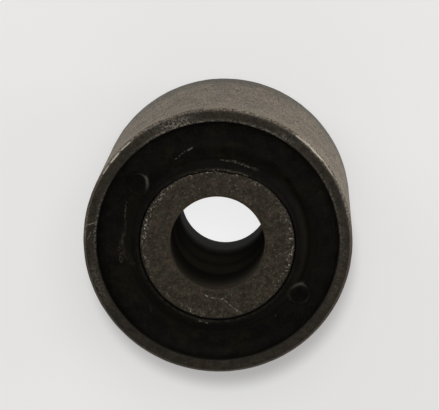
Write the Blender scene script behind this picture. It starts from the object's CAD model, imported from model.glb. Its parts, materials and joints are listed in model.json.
# %% [markdown]
# # A rubber metal bush
# A bush is a small flexible joint. A thin steel sleeve is pressed into the eye of an arm, a thick steel
# sleeve is clamped by a bolt, and rubber is moulded and bonded between the two, so that the joint can
# twist and shake a little without wearing. This lesson dresses the three pieces around their CAD frame.
# Everything is in metres, and the axis of the bush is Z.

# %% The frame
import bpy
import json
from math import atan2, cos, degrees, exp, hypot, pi, radians, sin
from mathutils import Matrix, Vector, noise

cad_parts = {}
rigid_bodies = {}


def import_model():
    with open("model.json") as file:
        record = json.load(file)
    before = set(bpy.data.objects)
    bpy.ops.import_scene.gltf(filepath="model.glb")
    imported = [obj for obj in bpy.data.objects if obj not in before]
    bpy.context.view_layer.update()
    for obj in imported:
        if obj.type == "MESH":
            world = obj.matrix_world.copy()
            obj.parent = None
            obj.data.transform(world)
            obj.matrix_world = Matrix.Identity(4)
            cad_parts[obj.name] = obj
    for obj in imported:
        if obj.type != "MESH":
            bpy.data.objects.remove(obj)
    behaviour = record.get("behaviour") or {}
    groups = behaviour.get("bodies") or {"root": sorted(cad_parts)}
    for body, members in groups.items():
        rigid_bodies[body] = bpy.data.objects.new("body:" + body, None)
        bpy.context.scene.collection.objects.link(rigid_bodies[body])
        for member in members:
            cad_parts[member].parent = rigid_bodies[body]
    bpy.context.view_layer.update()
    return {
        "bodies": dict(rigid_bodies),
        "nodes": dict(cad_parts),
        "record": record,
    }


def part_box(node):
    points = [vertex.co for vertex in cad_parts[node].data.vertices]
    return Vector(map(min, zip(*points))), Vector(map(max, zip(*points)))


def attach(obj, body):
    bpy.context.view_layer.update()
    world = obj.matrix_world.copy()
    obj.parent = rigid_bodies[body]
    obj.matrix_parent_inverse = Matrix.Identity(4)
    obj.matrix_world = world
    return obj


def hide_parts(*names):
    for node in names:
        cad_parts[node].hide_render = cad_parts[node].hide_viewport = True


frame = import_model()
MM = 0.001
print("pieces in the frame:", sorted(frame["nodes"]))

# %% [markdown]
# ## Sizes
# The places of the pieces come from the frame: each CAD node has a box, and the record holds the bore's
# radius. What the boxes can't say, such as the width of the rubber's collar, is a named value in
# millimetres. All heights are worked out from the two end faces.

# %% Sizes from the frame
outer_low, outer_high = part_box("outer_sleeve")
inner_low, inner_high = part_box("inner_sleeve")
rubber_low, rubber_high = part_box("rubber_body")
mounts = {mount["name"]: mount for mount in frame["record"]["mounts"]}

outer_radius = mounts["outer_seat"]["dims"]["r_mm"]
bore_radius = mounts["bolt_bore"]["dims"]["r_mm"]
inner_radius = round(inner_high.y / MM, 1)
bond_radius = round(rubber_high.y / MM, 2)

middle = (inner_low.z + inner_high.z) / 2 / MM
inner_end = inner_high.z / MM
outer_end = outer_high.z / MM
collar_top = rubber_high.z / MM
print(f"outer sleeve {outer_radius} mm, inner sleeve {inner_radius} mm, bore {bore_radius} mm in radius")
print(f"ends at {inner_end:.2f}, {outer_end:.2f} and {collar_top:.2f} mm")

# %% Sizes of the edges and of the rubber's end
lead_in_width = 0.4
lead_in_length = 0.5
inside_break = 0.1
edge_break = 0.2
bore_chamfer = 0.3
collar_width = 0.95
collar_flank = 1.35
gutter_depth = 1.9
gutter_fillet = 1.6
bond_setback = 0.75
stub_radius = 1.45
stub_height = 0.35
stub_pitch = 12.8
stub_angles = (145.0, 326.0)

crest_radius = inner_radius + collar_width
foot_radius = crest_radius + collar_flank
gutter_floor = outer_end - gutter_depth
bonded_edge = outer_end - bond_setback

# %% [markdown]
# ## Camera
# The bush stands on its end, and a long lens looks down at it, almost along the axis. The lens and the
# tilt decide how much of the side shows above the end face. The camera is turned first and then moved
# back until the edge circle of the outer sleeve falls where it should in the view.

# %% Camera
image_width = 439
focal_pixels = 2400
tilt_back = radians(10.93)
tilt_side = radians(2.1)
circle_in_view = Vector((-0.235, -4.70, -311.7)) * MM   # right, up and back from the lens
circle_centre = Vector((0, 0, (outer_end - lead_in_length) * MM))

camera_data = bpy.data.cameras.new("camera")
camera_data.sensor_width = 36
camera_data.lens = focal_pixels / image_width * camera_data.sensor_width
camera_data.clip_start = 0.01
camera = bpy.data.objects.new("camera", camera_data)
bpy.context.scene.collection.objects.link(camera)
turn = Matrix.Rotation(tilt_side, 3, "Y") @ Matrix.Rotation(-tilt_back, 3, "X")
camera.matrix_world = Matrix.Translation(circle_centre - turn @ circle_in_view) @ turn.to_4x4()
bpy.context.scene.camera = camera
print(f"camera {camera.matrix_world.translation.length:.3f} m away, lens {camera_data.lens:.0f} mm")

# %% [markdown]
# ## Shader helpers
# A material is a small network of nodes. Four short functions keep the networks readable: one adds any
# node, one adds a noise, one turns a range of values into a soft 0 to 1 step, and one mixes two colours.


# %% Shader helpers
def add(tree, kind, inputs=None, output=0, **settings):
    """Adds a node. An input is a number, a colour or the output of another node."""
    made = tree.nodes.new("ShaderNode" + kind)
    for name, value in settings.items():
        setattr(made, name, value)
    for key, value in (inputs or {}).items():
        if isinstance(value, bpy.types.NodeSocket):
            tree.links.new(value, made.inputs[key])
        else:
            made.inputs[key].default_value = value
    return made.outputs[output]


def grain(tree, place, scale, detail=3.0, roughness=0.55, distortion=0.0):
    """A noise between 0 and 1 with about `scale` features for each millimetre."""
    inputs = {"Vector": place, "Scale": scale, "Detail": detail, "Roughness": roughness, "Distortion": distortion}
    return add(tree, "TexNoise", inputs)


def step(tree, value, low, high):
    """0 below low, 1 above high, and a smooth change between."""
    inputs = {"Value": value, "From Min": low, "From Max": high}
    return add(tree, "MapRange", inputs, interpolation_type="SMOOTHSTEP")


def calc(tree, operation, first, second=0.0):
    return add(tree, "Math", {0: first, 1: second}, operation=operation)


def blend_colour(tree, share, first, second, mode="MIX"):
    return add(tree, "Mix", {0: share, 6: first, 7: second}, output=2, data_type="RGBA", blend_type=mode)


def millimetres(tree):
    """Object coordinates counted in millimetres."""
    place = add(tree, "TexCoord", output=3)
    return add(tree, "Mapping", {"Vector": place, "Scale": (1 / MM, 1 / MM, 1 / MM)})


def new_material(name):
    made = bpy.data.materials.new(name)
    made.use_nodes = True
    return made, made.node_tree, made.node_tree.nodes["Principled BSDF"]


# %% [markdown]
# ## Studio
# The floor is a wide pale sheet. Part of its paleness is a glow that only the camera, reflections and
# glass see, so that it looks evenly light, while its plain diffuse part keeps the soft shadow of the
# bush. A glow takes no shadow, so it is held back in a circle where the shadow of the key lamp falls.
# Under the bore the camera sees a brighter glow, because no lamp reaches the floor there, and the dark
# wall of the bore mirrors only a part of it.

# %% Floor
floor_size = 3.0
floor_glow = 0.50
floor_grey = 0.30
opening_glow = 0.30
bore_reflection = 0.33
shadow_centre = (-0.5, -8.5, 0)
shadow_radius = 18.7
shadow_depth = 0.5
bpy.ops.object.select_all(action="DESELECT")
bpy.ops.mesh.primitive_plane_add(size=floor_size)
floor = bpy.context.object
floor.name = "floor"
paper, tree, shader = new_material("paper")
shader.inputs["Base Color"].default_value = (floor_grey, floor_grey, floor_grey, 1)
shader.inputs["Roughness"].default_value = 0.9
shader.inputs["Specular IOR Level"].default_value = 0.0
place = millimetres(tree)
from_centre = add(tree, "VectorMath", {0: place}, output=1, operation="LENGTH")
from_shadow = add(tree, "VectorMath", {0: place, 1: shadow_centre}, output=1, operation="DISTANCE")
shade = step(tree, from_shadow, shadow_radius + 1.5, shadow_radius - 1.5)
held = calc(tree, "MULTIPLY", shade, shadow_depth * floor_glow)
open_floor = step(tree, from_centre, bore_radius, inner_radius)
rays = tree.nodes.new("ShaderNodeLightPath")
mirrored_share = add(tree, "MapRange", {0: open_floor, 3: bore_reflection, 4: 1.0})
reflected = calc(tree, "MULTIPLY", rays.outputs["Is Glossy Ray"], mirrored_share)
seen = calc(tree, "MAXIMUM", rays.outputs["Is Camera Ray"], rays.outputs["Is Transmission Ray"])
under_bore = calc(tree, "MULTIPLY", calc(tree, "SUBTRACT", 1.0, open_floor), seen)
extra = calc(tree, "MULTIPLY", under_bore, opening_glow + shadow_depth * floor_glow)
evenly = calc(tree, "SUBTRACT", floor_glow, held)
seen = calc(tree, "MULTIPLY", calc(tree, "MAXIMUM", seen, reflected), evenly)
glow = add(tree, "Emission", {"Color": (1, 1, 1, 1), "Strength": calc(tree, "ADD", seen, extra)})
both = add(tree, "AddShader", {0: shader.outputs[0], 1: glow})
tree.links.new(both, tree.nodes["Material Output"].inputs["Surface"])
floor.data.materials.append(paper)

# %% [markdown]
# The lamps are soft boxes on the far side. The room is darker overhead than round about, as a studio
# is, so that the dark end faces stay dark. The camera sees it pale, like the floor.


# %% Lamps and room
def soft_box(name, azimuth, elevation, size, power, colour, distance=0.4):
    """A square area lamp that looks at the bush from a direction given in degrees."""
    lamp = bpy.data.lights.new(name, "AREA")
    lamp.shape = "SQUARE"
    lamp.size = size
    lamp.energy = power
    lamp.color = colour
    stand = bpy.data.objects.new(name, lamp)
    bpy.context.scene.collection.objects.link(stand)
    flat = cos(radians(elevation))
    towards = Vector((cos(radians(azimuth)) * flat, sin(radians(azimuth)) * flat, sin(radians(elevation))))
    turned_in = towards.to_track_quat("Z", "Y").to_matrix().to_4x4()
    stand.matrix_world = Matrix.Translation(Vector((0, 0, middle * MM)) + towards * distance) @ turned_in
    print(f"{name}: {power} W, {azimuth} degrees round, {elevation} up")


soft_box("box_key", 75, 70, 0.15, 0.78, (1.0, 0.985, 0.96))
soft_box("box_left", 135, 28, 0.20, 0.50, (1.0, 0.98, 0.955))
soft_box("box_right", 10, 6, 0.11, 0.90, (1.0, 0.985, 0.96))
soft_box("box_fill", 262, 28, 0.30, 0.25, (1.0, 0.98, 0.95))

overhead = 0.28
horizon = 0.45
room = bpy.data.worlds.new("room")
bpy.context.scene.world = room
room.use_nodes = True
tree = room.node_tree
direction = add(tree, "TexCoord", output=0)
height = add(tree, "SeparateXYZ", {0: direction}, output=2)
level = add(tree, "MapRange", {0: height, 1: 0.15, 2: 0.9, 3: horizon, 4: overhead}, interpolation_type="SMOOTHSTEP")
seen = add(tree, "LightPath", output=0)
level = add(tree, "Mix", {0: seen, 2: level, 3: 0.8}, data_type="FLOAT")
tree.links.new(level, tree.nodes["Background"].inputs["Strength"])
tree.nodes["Background"].inputs["Color"].default_value = (1.0, 0.975, 0.93, 1)
bpy.context.scene.view_settings.view_transform = "Standard"

# %% [markdown]
# ## Turning a piece
# All three pieces are round, so each is modelled like work on a lathe: a small plane is merged to one
# vertex, extruded from point to point along the outline, and spun once round the axis. An outline is a
# list of corners, each with a radius, a height and the size of its rounding.


# %% Outline helpers
def rounded(corners, parts=6):
    """Replaces each corner (radius, height, rounding) with a short curve that cuts it off."""
    points = []
    for index, (radius, height, rounding) in enumerate(corners):
        here = Vector((radius, height))
        if not rounding or index in (0, len(corners) - 1):
            points.append(here)
            continue
        before = (Vector(corners[index - 1][:2]) - here).normalized() * rounding
        after = (Vector(corners[index + 1][:2]) - here).normalized() * rounding
        for part in range(parts + 1):
            t = part / parts
            points.append(here + before * (1 - t) ** 2 + after * t ** 2)
    return points


def divided(points, spacing):
    """Adds points on long runs, so that no run is longer than the spacing."""
    result = [points[0]]
    for start, end in zip(points, points[1:]):
        count = max(1, round((end - start).length / spacing))
        result += [start.lerp(end, part / count) for part in range(1, count + 1)]
    return result


def graded(points, fine, coarse):
    """Divides the first and the last run coarsely, and everything between them finely."""
    first, last = divided(points[:2], coarse), divided(points[-2:], coarse)
    return first[:-1] + divided(points[1:-1], fine) + last[1:]


def mirrored(upper):
    """The lower half of an outline that is the same at both ends."""
    return [Vector((point.x, 2 * middle - point.y)) for point in reversed(upper)]


# %% Lathe
def turned(name, outline, steps):
    """Draws a closed outline in edit mode and spins it once round Z."""
    points = [Vector((point.x * MM, 0, point.y * MM)) for point in outline]
    bpy.ops.object.select_all(action="DESELECT")
    bpy.ops.mesh.primitive_plane_add(size=MM)
    piece = bpy.context.object
    piece.name = name
    bpy.ops.object.mode_set(mode="EDIT")
    bpy.ops.mesh.select_all(action="SELECT")
    bpy.ops.mesh.merge(type="CENTER")
    bpy.ops.transform.translate(value=points[0])
    for start, end in zip(points, points[1:] + points[:1]):
        bpy.ops.mesh.extrude_region_move(TRANSFORM_OT_translate={"value": end - start})
    bpy.ops.mesh.select_all(action="SELECT")
    bpy.ops.mesh.remove_doubles(threshold=0.0005 * MM)
    bpy.ops.mesh.spin(steps=steps, angle=2 * pi, center=(0, 0, 0), axis=(0, 0, 1))
    bpy.ops.mesh.select_all(action="SELECT")
    bpy.ops.mesh.remove_doubles(threshold=0.0005 * MM)
    bpy.ops.mesh.normals_make_consistent(inside=False)
    bpy.ops.object.mode_set(mode="OBJECT")
    bpy.ops.object.shade_smooth_by_angle(angle=radians(40))
    print(f"{name}: {len(outline)} outline points, {len(piece.data.polygons)} faces")
    return piece


# %% [markdown]
# ## Reading and moving vertices
# Real edges are never even. After the spin, single vertices are moved by a smooth noise, and each piece
# gets an attribute named rub, from 0 to 1, that tells its material where the surface is worn.


# %% Helpers for vertices
def polar(point):
    """Radius in mm, angle in degrees and height in mm of a vertex."""
    return hypot(point.x, point.y) / MM, degrees(atan2(point.y, point.x)) % 360, point.z / MM


def on_end(angle, radius):
    """The place on the end face, in mm, that lies at this angle and distance from the axis."""
    return Vector((radius * cos(radians(angle)), radius * sin(radians(angle)), 0))


def place_polar(vertex, radius, angle, height):
    vertex.co = (radius * cos(radians(angle)) * MM, radius * sin(radians(angle)) * MM, height * MM)


def wave(angle, height, turns, seed):
    """A smooth noise round the axis, between about -1 and 1, that closes on itself."""
    reach = turns / (2 * pi)
    return noise.noise(Vector((reach * cos(radians(angle)) + seed, reach * sin(radians(angle)), height)))


def away(angle, centre):
    """Degrees between two directions, whichever way round is shorter."""
    return abs((angle - centre + 180) % 360 - 180)


def hump(value, half_width):
    """1 at zero, falling smoothly to 0."""
    return exp(-((value / half_width) ** 2) * 2)


def write_share(piece, name, rule):
    """Stores a value from 0 to 1 at each vertex, worked out from its radius, angle and height."""
    shares = [max(0.0, min(1.0, rule(*polar(vertex.co)))) for vertex in piece.data.vertices]
    stored = piece.data.attributes.new(name, "FLOAT", "POINT")
    stored.data.foreach_set("value", shares)


# %% [markdown]
# ## Outer sleeve
# A length of 35 x 1.75 tube, faced off and chamfered on the outside, so that it enters its eye. The
# chamfer has rubbed bright where the sleeve has knocked against others in the box.

# %% Outer sleeve
outer_upper = [
    (bond_radius, middle, 0),
    (bond_radius, outer_end - inside_break, 0.04),
    (bond_radius + inside_break, outer_end, 0.04),
    (outer_radius - lead_in_width, outer_end, 0.06),
    (outer_radius, outer_end - lead_in_length, 0.12),
    (outer_radius, middle, 0),
]
half = graded(rounded(outer_upper), 0.16, 1.5)
outer = turned("outer_tube", half + mirrored(half)[1:-1], 512)
for vertex in outer.data.vertices:
    radius, angle, height = polar(vertex.co)
    if radius > bond_radius + 0.05 and abs(height - middle) > outer_end - middle - 0.9:
        nick = 0.02 * wave(angle, height * 2, 90, 3.1) + 0.012 * wave(angle, height * 3, 300, 4.2)
        radius += nick * (radius > outer_radius - 0.3)
        height += 0.012 * wave(angle, radius, 60, 7.7) * (1 if height > middle else -1)
        place_polar(vertex, radius, angle, height)

# %% [markdown]
# The wear is a sum of soft patches. Each has a centre in degrees, a radius, two half-widths and a weight.

# %% Wear of the outer sleeve
chamfer_middle = outer_radius - lead_in_width / 2
outer_wear = (
    (44, chamfer_middle, 13, 0.34, 1.0), (141, outer_radius - 0.2, 14, 0.2, 0.8), (118, chamfer_middle, 22, 0.3, 0.35),
    (78, chamfer_middle, 30, 0.3, 0.3), (15, chamfer_middle, 14, 0.3, 0.45), (172, chamfer_middle, 12, 0.3, 0.45),
    (110, 16.55, 10, 0.6, 0.7), (108, 15.95, 26, 0.22, 0.7), (70, 15.95, 16, 0.2, 0.45), (172, 15.95, 20, 0.2, 0.45),
    (350, 16.4, 30, 0.7, 0.1), (200, 16.6, 14, 0.6, 0.2), (57, 16.3, 6, 0.5, 0.35), (20, 15.95, 30, 0.2, 0.3),
    (88, outer_radius - 0.08, 75, 0.17, 0.75), (35, outer_radius - 0.08, 20, 0.17, 0.9),
)


def outer_rub(radius, angle, height):
    if abs(height - middle) < outer_end - middle - lead_in_length - 0.1:
        return 0.0
    return 0.65 * sum(weight * hump(away(angle, centre), turn) * hump(radius - ring, width)
                      for centre, ring, turn, width, weight in outer_wear)


write_share(outer, "rub", outer_rub)

# %% [markdown]
# ## Inner sleeve
# A thick tube, sawn to length and tumbled. Its outside edge is ragged and sparkles, and the bore has a
# small clean chamfer.

# %% Inner sleeve
inner_upper = [
    (bore_radius, middle, 0),
    (bore_radius, inner_end - bore_chamfer, 0.05),
    (bore_radius + bore_chamfer, inner_end, 0.05),
    (inner_radius - edge_break, inner_end, 0.08),
    (inner_radius, inner_end - edge_break, 0.08),
    (inner_radius, middle, 0),
]
half = graded(rounded(inner_upper), 0.16, 1.5)
inner = turned("inner_tube", half + mirrored(half)[1:-1], 576)
for vertex in inner.data.vertices:
    radius, angle, height = polar(vertex.co)
    up = 1 if height > middle else -1
    if abs(height - middle) > inner_end - middle - 0.25 and radius > inner_radius - 0.6:
        share = min(1.0, (radius - inner_radius + 0.6) / 0.4)
        radius += share * (0.05 * wave(angle, height * 3, 260, 1.3) + 0.03 * wave(angle, height, 500, 3.3) - 0.02)
        height -= share * up * (0.05 * abs(wave(angle, radius, 200, 5.9)) + 0.02 * abs(wave(angle, radius, 600, 2.9)))
        place_polar(vertex, radius, angle, height)


def inner_rub(radius, angle, height):
    edge = hump(radius - inner_radius + 0.42, 0.5) * hump(abs(height - middle) - (inner_end - middle), 0.3)
    side = max(hump(away(angle, 158), 52), hump(away(angle, 352), 48) * 0.9, hump(away(angle, 85), 60) * 0.5,
               hump(away(angle, 256), 16) * 0.6)
    return edge * side


write_share(inner, "rub", inner_rub)

# %% [markdown]
# ## Rubber body
# At each end the rubber stands up round the inner sleeve as a collar, falls into a gutter, and rises in
# a hollow curve to the outer sleeve. Right beside the inner sleeve it has a thin lip with a dark gap. On
# one side the lip laps over the end face of the sleeve, where rubber crept under the mould.

# %% Rubber outline
lip = [
    (inner_radius, collar_top - 0.3, 0),
    (inner_radius + 0.08, collar_top - 0.22, 0.03),
    (inner_radius + 0.13, collar_top + 0.02, 0.05),
    (inner_radius + 0.32, collar_top + 0.05, 0.09),
    (inner_radius + 0.46, collar_top - 0.02, 0.06),
]
collar = [
    (crest_radius, collar_top - 0.05, 0.42),
    (foot_radius, gutter_floor, 0.9),
    (bond_radius - gutter_fillet, gutter_floor + 0.01, 0.3),
]
print("the collar stands", round(collar_top - gutter_floor, 2), "mm above the gutter")


def hollow(parts=10):
    """The quarter of an ellipse that rises from the gutter to the bonded edge."""
    rise = bonded_edge - gutter_floor
    start = bond_radius - gutter_fillet
    angles = [pi / 2 * part / parts for part in range(1, parts + 1)]
    return [Vector((start + gutter_fillet * sin(a), gutter_floor + rise * (1 - cos(a)))) for a in angles]


# %% Rubber body
profile = rounded(lip + collar)[:-1] + hollow()
upper, lower = divided(profile, 0.16), mirrored(divided(profile, 0.4))
outline = upper + divided([upper[-1], lower[0]], 4.0)[1:-1] + lower
outline += divided([outline[-1], outline[0]], 4.0)[1:-1]
rubber = turned("rubber_moulding", outline, 560)

lap_angle = 85
lap_reach = 0.62
lap_thickness = 0.06


def lap_at(angle):
    """How far the lip reaches over the end face at this angle, in mm."""
    share = max(0.0, cos(radians(angle - lap_angle))) ** 4
    ragged = 0.22 * wave(angle, 0, 40, 4.4) + 0.08 * wave(angle, 0, 200, 8.4)
    return share * (lap_reach + ragged) + 0.02 * ragged


for vertex in rubber.data.vertices:
    radius, angle, height = polar(vertex.co)
    if height < middle or radius > foot_radius:
        continue
    if height > collar_top - 0.27 and radius < inner_radius + 0.5:
        reach = lap_at(angle)
        share = max(0.0, min(1.0, 1 - (radius - inner_radius - 0.09) / 0.41))
        radius -= share * reach
        lift = share * max(0.0, min(1.0, reach / 0.12))
        lapped = inner_end + lap_thickness * (height - collar_top + 0.3) / 0.4
        height += lift * (lapped - height)
    height += 0.03 * wave(angle, radius * 1.5, 60, 6.1)
    place_polar(vertex, radius, angle, height)

# %% [markdown]
# ## Gate stubs
# Rubber enters the mould through two gates, and each leaves a low round pad in the gutter. A pad is a
# short cylinder with a bevelled rim and a slightly sunk top, joined to the rubber by a Boolean.


# %% Gate stubs
def stub(angle):
    root = 0.4
    height = stub_height + root
    centre = Vector((stub_pitch * cos(radians(angle)), stub_pitch * sin(radians(angle)), gutter_floor - root + height / 2))
    bpy.ops.object.select_all(action="DESELECT")
    bpy.ops.mesh.primitive_cylinder_add(vertices=96, radius=stub_radius * MM, depth=height * MM, location=centre * MM)
    pad = bpy.context.object
    bpy.ops.object.transform_apply(location=True, rotation=False, scale=False)
    bpy.ops.object.mode_set(mode="EDIT")
    bpy.ops.mesh.select_mode(type="FACE")
    bpy.ops.mesh.select_all(action="DESELECT")
    bpy.ops.object.mode_set(mode="OBJECT")
    for face in pad.data.polygons:
        face.select = face.normal.z > 0.9
    bpy.ops.object.mode_set(mode="EDIT")
    bpy.ops.mesh.bevel(offset=0.14 * MM, segments=4)
    bpy.ops.mesh.select_mode(type="FACE")
    bpy.ops.mesh.select_all(action="DESELECT")
    bpy.ops.object.mode_set(mode="OBJECT")
    for face in pad.data.polygons:
        face.select = face.normal.z > 0.999
    bpy.ops.object.mode_set(mode="EDIT")
    bpy.ops.mesh.inset(thickness=0.1 * MM, depth=-0.03 * MM)
    bpy.ops.mesh.inset(thickness=0.12 * MM, depth=-0.06 * MM)
    bpy.ops.object.mode_set(mode="OBJECT")
    return pad


def unite(piece, other):
    """Joins another closed shape to a piece, and removes the other."""
    bpy.ops.object.select_all(action="DESELECT")
    bpy.context.view_layer.objects.active = piece
    piece.select_set(True)
    union = piece.modifiers.new("union", "BOOLEAN")
    union.operation = "UNION"
    union.solver = "EXACT"
    union.object = other
    bpy.ops.object.modifier_apply(modifier="union")
    bpy.data.objects.remove(other)


for angle in stub_angles:
    unite(rubber, stub(angle))
print("rubber with its stubs:", len(rubber.data.polygons), "faces")

# %% [markdown]
# The moulded rim of a pad is polished on one side. Each bright arc is given as its pad, its direction
# seen from the pad's own centre, its half-width in degrees, its weight, and half its breadth in mm.

# %% Bright arcs on the pads
pad_arcs = ((0, 20, 48, 0.85, 0.26), (1, 94, 50, 1.0, 0.40), (1, 190, 45, 0.4, 0.26), (1, 320, 60, 0.1, 0.26))


def rubber_rub(radius, angle, height):
    worn = 0.0
    if height > gutter_floor + 0.12:
        for pad, side, width, weight, breadth in pad_arcs:
            offset = on_end(angle, radius) - on_end(stub_angles[pad], stub_pitch)
            around = degrees(atan2(offset.y, offset.x))
            rim = hump(offset.length - stub_radius + 0.1, breadth)
            worn = max(worn, weight * rim * hump(away(around, side), width))
    return worn



def from_rim(radius, angle):
    """Distance outwards from the inner rim of the lip, in mm."""
    return radius - inner_radius - 0.08 + lap_at(angle)


def gap_shade(radius, angle, height):
    return hump(max(0.0, from_rim(radius, angle)), 0.15) * (height > middle)


def lip_light(radius, angle, height):
    bright = max(hump(away(angle, 90), 50), 0.9 * hump(away(angle, 255), 90))
    return bright * hump(from_rim(radius, angle) - 0.3, 0.2) * (height > middle)


def pad_top(radius, angle, height):
    if height < gutter_floor + 0.12 or radius < foot_radius:
        return 0.0
    nearest = min((on_end(angle, radius) - on_end(pad, stub_pitch)).length for pad in stub_angles)
    return (stub_radius - 0.15 - nearest) / 0.2


write_share(rubber, "rub", rubber_rub)
write_share(rubber, "gap", gap_shade)
write_share(rubber, "lip_light", lip_light)
write_share(rubber, "pad_top", pad_top)
bpy.ops.object.select_all(action="DESELECT")
rubber.select_set(True)
bpy.context.view_layer.objects.active = rubber
bpy.ops.object.shade_smooth_by_angle(angle=radians(50))

# %% [markdown]
# ## Scratches and scuffs
# A scratch is finer than the mesh, so the shader draws it. It is a short straight line on the upper end,
# given by two places in degrees and millimetres from the axis. The shader measures how far each point
# lies from that line, seen along the axis, after a noise has shaken the point a little.


# %% Scratches
def scratch(tree, flat, start, end, width, strength):
    """The given strength on a line between two places, falling to 0 at half the width in mm."""
    start, end = on_end(*start), on_end(*end)
    run = end - start
    offset = add(tree, "VectorMath", {0: flat, 1: start}, operation="SUBTRACT")
    along = add(tree, "VectorMath", {0: offset, 1: run / run.length_squared}, output=1, operation="DOT_PRODUCT")
    nearest = add(tree, "VectorMath", {0: run, 3: add(tree, "Clamp", {0: along})}, operation="SCALE")
    distance = add(tree, "VectorMath", {0: offset, 1: nearest}, output=1, operation="DISTANCE")
    return calc(tree, "MULTIPLY", step(tree, distance, width / 2, width * 0.25), strength)


def scratches(tree, place, shake, lines):
    """The strongest of several scratches at each point of the upper end."""
    shaken = grain(tree, place, 2.5, 3.0, 0.6)
    wobble = add(tree, "VectorMath", {0: shaken.node.outputs[1], 1: (0.5, 0.5, 0.5)}, operation="SUBTRACT")
    moved = add(tree, "VectorMath", {0: wobble, 1: (shake, shake, 0), 2: place}, operation="MULTIPLY_ADD")
    flat = add(tree, "VectorMath", {0: moved, 1: (1, 1, 0)}, operation="MULTIPLY")
    worn = 0.0
    for line in lines:
        worn = calc(tree, "MAXIMUM", worn, scratch(tree, flat, *line))
    height = add(tree, "SeparateXYZ", {0: place}, output=2)
    return calc(tree, "MULTIPLY", worn, step(tree, height, middle, middle + 5))


def from_axis(tree, place):
    """Distance from the axis in mm."""
    flat = add(tree, "VectorMath", {0: place, 1: (1, 1, 0)}, operation="MULTIPLY")
    return add(tree, "VectorMath", {0: flat}, output=1, operation="LENGTH")


def from_middle(tree, place):
    """Height above or below the middle of the bush in mm."""
    height = add(tree, "SeparateXYZ", {0: place}, output=2)
    return calc(tree, "ABSOLUTE", calc(tree, "SUBTRACT", height, middle))


# %% [markdown]
# ## Steel
# The tubes are dark from phosphating and oil: nearly black brown, matt and finely speckled, and lighter
# where the coating has rubbed off. A mottled colour is mixed from a slow noise, fine light specks and
# small dark pits. Both steels use it, each with its own zones, such as the chamfer, the side or the bore.


# %% Mottled steel
def mottled(tree, place, dark, light, fleck, cloud_scale, speck_scale, flecks=0.5):
    """A colour between dark and light, with small flecks and dark pits."""
    cloud = step(tree, grain(tree, place, cloud_scale, 6.0, 0.75), 0.38, 0.62)
    speck = grain(tree, place, speck_scale, 3.0, 0.8)
    colour = blend_colour(tree, cloud, dark, light)
    pits = calc(tree, "MULTIPLY", step(tree, speck, 0.48, 0.36), 0.55)
    colour = blend_colour(tree, pits, colour, (0.2, 0.18, 0.15, 1), "MULTIPLY")
    tint = grain(tree, place, cloud_scale * 1.7, 3.0, 0.6)
    hue = blend_colour(tree, step(tree, tint, 0.4, 0.6), (1.12, 0.96, 0.98, 1), (0.92, 1.04, 0.95, 1))
    colour = blend_colour(tree, 1.0, colour, hue, "MULTIPLY")
    sparse = calc(tree, "MULTIPLY", step(tree, speck, 0.56, 0.72), flecks)
    return blend_colour(tree, sparse, colour, fleck), speck, cloud


def finish_steel(tree, shader, place, colour, speck, cloud, rough_low, rough_high, worn, bare, relief, sparse):
    """Adds bare metal where rubbed, and sets roughness and bump. The metal shows above a sparse noise level."""
    rub = add(tree, "Attribute", output=2, attribute_name="rub")
    torn = step(tree, grain(tree, place, 3.4, 3.0, 0.8), sparse, sparse + 0.12)
    rubbed = calc(tree, "MULTIPLY", rub, torn)
    rubbed = calc(tree, "MAXIMUM", rubbed, worn)
    colour = blend_colour(tree, rubbed, colour, bare)
    tree.links.new(colour, shader.inputs["Base Color"])
    rough = add(tree, "MapRange", {0: speck, 1: 0.35, 2: 0.7, 3: rough_high, 4: rough_low})
    tree.links.new(rough, shader.inputs["Roughness"])
    shader.inputs["Metallic"].default_value = 0.0
    height = calc(tree, "ADD", speck, calc(tree, "MULTIPLY", cloud, 0.6))
    bump = add(tree, "Bump", {"Strength": 0.6, "Distance": relief * MM, "Height": height})
    tree.links.new(bump, shader.inputs["Normal"])


# %% Outer steel
outer_steel, tree, shader = new_material("outer_steel")
place = millimetres(tree)
along = from_middle(tree, place)
half_length = outer_end - middle
end_colour, speck, cloud = mottled(tree, place, (0.0068, 0.0054, 0.0032, 1), (0.0185, 0.0148, 0.0094, 1),
                                   (0.060, 0.047, 0.031, 1), 1.1, 4.0, 0.65)
patchy = step(tree, grain(tree, place, 0.32, 4.0, 0.7), 0.40, 0.60)
side_dark = blend_colour(tree, patchy, (0.018, 0.0138, 0.0086, 1), (0.042, 0.033, 0.021, 1))
side_light = blend_colour(tree, patchy, (0.066, 0.053, 0.035, 1), (0.165, 0.133, 0.094, 1))
side_colour = blend_colour(tree, cloud, side_dark, side_light)
rust = step(tree, grain(tree, place, 0.35, 5.0, 0.65), 0.5, 0.7)
side_colour = blend_colour(tree, rust, side_colour, (0.095, 0.064, 0.038, 1))
side_colour = blend_colour(tree, step(tree, speck, 0.46, 0.64), side_colour, (0.26, 0.210, 0.150, 1))
near_end = calc(tree, "MULTIPLY", step(tree, along, half_length - 6.0, half_length - 1.0), 0.45)
side_colour = blend_colour(tree, near_end, side_colour, (0.175, 0.142, 0.100, 1))
height = add(tree, "SeparateXYZ", {0: place}, output=2)
stain_line = calc(tree, "ADD", height, calc(tree, "MULTIPLY", grain(tree, place, 0.3), 6.0))
stained = calc(tree, "MULTIPLY", step(tree, stain_line, 13.0, 5.0), 0.7)
side_colour = blend_colour(tree, stained, side_colour, (0.020, 0.0205, 0.0125, 1))
chamfer_colour = blend_colour(tree, speck, (0.018, 0.0125, 0.0085, 1), (0.070, 0.052, 0.038, 1))
on_side = step(tree, along, half_length - lead_in_length, half_length - lead_in_length - 0.1)
on_break = step(tree, from_axis(tree, place), bond_radius + 0.2, bond_radius + 0.1)
on_face = step(tree, along, half_length - 0.12, half_length - 0.05)
colour = blend_colour(tree, on_side, chamfer_colour, side_colour)
colour = blend_colour(tree, on_face, colour, end_colour)
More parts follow.
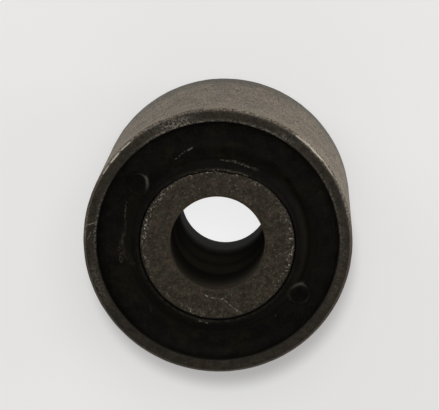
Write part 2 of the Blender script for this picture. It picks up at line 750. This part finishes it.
colour = blend_colour(tree, on_break, colour, (0.0050, 0.0042, 0.0028, 1))
lines = (((171.5, 16.2), (173.0, 17.1), 0.18, 0.28), ((176, 16.5), (179, 16.9), 0.16, 0.14),
         ((131, 17.24), (136, 17.26), 0.20, 0.9), ((138, 17.22), (143, 17.24), 0.26, 1.0),
         ((145, 17.24), (149, 17.26), 0.20, 0.8), ((54, 17.28), (47, 17.30), 0.22, 0.9),
         ((46, 17.28), (39, 17.30), 0.24, 1.0), ((37, 17.30), (31, 17.30), 0.2, 0.6))
ticks = calc(tree, "MULTIPLY", scratches(tree, place, 0.1, lines), calc(tree, "SUBTRACT", 1.0, on_side))
finish_steel(tree, shader, place, colour, speck, cloud, 0.36, 0.68, ticks, (0.34, 0.31, 0.26, 1), 0.03, 0.45)
shader.inputs["Specular IOR Level"].default_value = 0.14
outer.data.materials.append(outer_steel)

# %% [markdown]
# Inside the bore the colour follows the depth from the nearer end: as light as the end face at the
# mouth, then dark with oil, with one darker line where the drill met the reamer.

# %% Inner steel
inner_steel, tree, shader = new_material("inner_steel")
place = millimetres(tree)
radius, along = from_axis(tree, place), from_middle(tree, place)
colour, speck, cloud = mottled(tree, place, (0.0140, 0.0117, 0.0076, 1), (0.0310, 0.0262, 0.0182, 1),
                               (0.105, 0.091, 0.071, 1), 1.3, 3.4, 0.8)
depth = calc(tree, "SUBTRACT", inner_end - middle, along)
mouth = blend_colour(tree, 0.5, colour, (0.040, 0.034, 0.025, 1))
oiled = blend_colour(tree, step(tree, depth, 1.0, 7.0), mouth, (0.0085, 0.0064, 0.0038, 1))
oiled = blend_colour(tree, step(tree, depth, 9.0, 11.0), oiled, (0.027, 0.0215, 0.0138, 1))
oiled = blend_colour(tree, step(tree, depth, 12.5, 18.0), oiled, (0.0030, 0.0016, 0.0008, 1))
line = calc(tree, "MULTIPLY", step(tree, depth, 7.4, 8.6), step(tree, depth, 9.6, 8.8))
oiled = blend_colour(tree, line, oiled, (0.0050, 0.0038, 0.0022, 1))
in_bore = step(tree, radius, bore_radius + 0.25, bore_radius + 0.05)
colour = blend_colour(tree, in_bore, colour, oiled)
rusty = calc(tree, "MULTIPLY", step(tree, radius, bore_radius + 0.4, bore_radius + 0.2), step(tree, depth, 0.4, 0.2))
far_side = step(tree, add(tree, "SeparateXYZ", {0: place}, output=1), 0.0, 4.0)
rusty = calc(tree, "MULTIPLY", calc(tree, "MULTIPLY", rusty, far_side), 0.6)
colour = blend_colour(tree, rusty, colour, (0.048, 0.031, 0.018, 1))
broken_edge = step(tree, radius, inner_radius - 0.22, inner_radius - 0.12)
uneven = add(tree, "MapRange", {0: grain(tree, place, 1.1, 3.0, 0.7), 1: 0.35, 2: 0.55, 3: 0.35, 4: 1.0})
broken_edge = calc(tree, "MULTIPLY", broken_edge, uneven)
colour = blend_colour(tree, broken_edge, colour, (0.006, 0.005, 0.004, 1))
lines = (((277.4, 7.56), (287.3, 9.38), 0.13, 0.3), ((257, 6.95), (259.5, 7.05), 0.24, 0.45),
         ((264, 7.15), (267, 7.2), 0.2, 0.35), ((274.5, 7.35), (276, 7.25), 0.2, 0.3), ((286, 9.2), (288.5, 9.5), 0.24, 0.3))
ticks = calc(tree, "MULTIPLY", scratches(tree, place, 0.12, lines), step(tree, speck, 0.36, 0.56))
in_depth = add(tree, "SeparateXYZ", {0: place}, output=2)
bore_rough = add(tree, "MapRange", {0: in_depth, 1: 5.0, 2: 10.5, 3: 0.37, 4: 1.0})
roughness = add(tree, "Mix", {0: in_bore, 2: 0.7, 3: bore_rough}, data_type="FLOAT")
finish_steel(tree, shader, place, colour, speck, cloud, 0.5, 0.75, ticks, (0.30, 0.28, 0.245, 1), 0.03, 0.54)
tree.links.new(roughness, shader.inputs["Roughness"])
shader.inputs["Specular IOR Level"].default_value = 0.11
inner.data.materials.append(inner_steel)

# %% [markdown]
# ## Rubber
# Carbon black rubber swallows nearly all light. What shows is its satin sheen, faint brown and olive
# tints from dust and rust water, and a few pale scuffs.

# %% Rubber
black_rubber, tree, shader = new_material("black_rubber")
place = millimetres(tree)
cloud = grain(tree, place, 0.6, 5.0, 0.6)
speck = grain(tree, place, 5.0, 3.0, 0.6)
colour = blend_colour(tree, step(tree, cloud, 0.3, 0.7), (0.0018, 0.0014, 0.0010, 1), (0.0050, 0.0040, 0.0030, 1))
stain = step(tree, grain(tree, place, 0.45, 4.0, 0.7), 0.52, 0.7)
colour = blend_colour(tree, stain, colour, (0.0075, 0.0058, 0.0028, 1))
dust = calc(tree, "MULTIPLY", step(tree, speck, 0.50, 0.72), 0.6)
colour = blend_colour(tree, dust, colour, (0.012, 0.0105, 0.0085, 1))
clean = step(tree, from_axis(tree, place), crest_radius + 1.0, crest_radius - 0.4)
colour = blend_colour(tree, calc(tree, "MULTIPLY", clean, 0.55), colour, (0.0015, 0.0009, 0.0006, 1))
lines = (
    ((158, 12.9), (166, 12.5), 0.16, 0.7), ((166, 12.5), (175, 12.1), 0.26, 0.9),
    ((175, 12.1), (182, 12.6), 0.55, 0.6), ((182, 12.6), (189, 12.2), 0.9, 0.4),
    ((189, 12.2), (195, 11.6), 1.4, 0.45), ((186, 12.9), (193, 13.0), 0.8, 0.3),
    ((105.5, 12.5), (110.5, 12.3), 0.26, 1.0), ((112, 12.25), (117.5, 12.0), 0.2, 0.7),
    ((62, 10.95), (78, 10.95), 0.34, 0.65), ((78, 10.98), (88, 10.95), 0.24, 0.4),
    ((255, 10.7), (259, 10.5), 0.4, 0.9), ((259, 10.5), (264, 10.75), 0.34, 0.8), ((250, 11.1), (253, 11.6), 0.2, 0.5),
    ((306, 12.8), (309, 12.3), 0.14, 0.5), ((225, 12.6), (228, 13.2), 0.2, 0.35),
)
scuffs = scratches(tree, place, 0.35, lines)
torn = step(tree, grain(tree, place, 3.4, 3.0, 0.8), 0.46, 0.58)
colour = blend_colour(tree, calc(tree, "MULTIPLY", scuffs, torn), colour, (0.075, 0.066, 0.056, 1))
rub = add(tree, "Attribute", output=2, attribute_name="rub")
colour = blend_colour(tree, calc(tree, "MULTIPLY", rub, calc(tree, "MAXIMUM", torn, 0.75)), colour, (0.100, 0.094, 0.083, 1))
sheltered = calc(tree, "MULTIPLY", step(tree, from_axis(tree, place), crest_radius, crest_radius + 0.5),
                 step(tree, from_axis(tree, place), foot_radius + 0.7, foot_radius - 0.2))
near_side = step(tree, add(tree, "SeparateXYZ", {0: place}, output=1), 9.0, 0.0)
sheltered = calc(tree, "MULTIPLY", calc(tree, "MULTIPLY", sheltered, near_side), 0.7)
sheltered = calc(tree, "MULTIPLY", sheltered, calc(tree, "SUBTRACT", 1.0, rub))
colour = blend_colour(tree, sheltered, colour, (0.0090, 0.0074, 0.0056, 1))
lip_share = calc(tree, "MULTIPLY", add(tree, "Attribute", output=2, attribute_name="lip_light"),
                 step(tree, grain(tree, place, 1.6, 3.0, 0.7), 0.34, 0.60))
colour = blend_colour(tree, lip_share, colour, (0.0170, 0.0150, 0.0105, 1))
pad = calc(tree, "MULTIPLY", add(tree, "Attribute", output=2, attribute_name="pad_top"), 0.7)
colour = blend_colour(tree, pad, colour, (0.0016, 0.0008, 0.0008, 1))
gap = add(tree, "Attribute", output=2, attribute_name="gap")
colour = blend_colour(tree, gap, colour, (0.0004, 0.0003, 0.0002, 1))
tree.links.new(colour, shader.inputs["Base Color"])
shader.inputs["Roughness"].default_value = 0.7
shader.inputs["Specular IOR Level"].default_value = 0.045
relief = calc(tree, "ADD", calc(tree, "MULTIPLY", speck, 0.4), cloud)
tree.links.new(add(tree, "Bump", {"Strength": 0.5, "Distance": 0.04 * MM, "Height": relief}), shader.inputs["Normal"])
rubber.data.materials.append(black_rubber)

# %% [markdown]
# ## Hand over to the frame
# Each mesh stands for its CAD node and rides on the one body of the bush.

# %% Ride and replace
body = next(iter(frame["bodies"]))
dressed = ((outer, "outer_sleeve", "outer_steel"), (rubber, "rubber_body", "black_rubber"), (inner, "inner_sleeve", "inner_steel"))
for piece, node, slot in dressed:
    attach(piece, body)
    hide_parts(node)
    print(piece.name, "stands for", node)
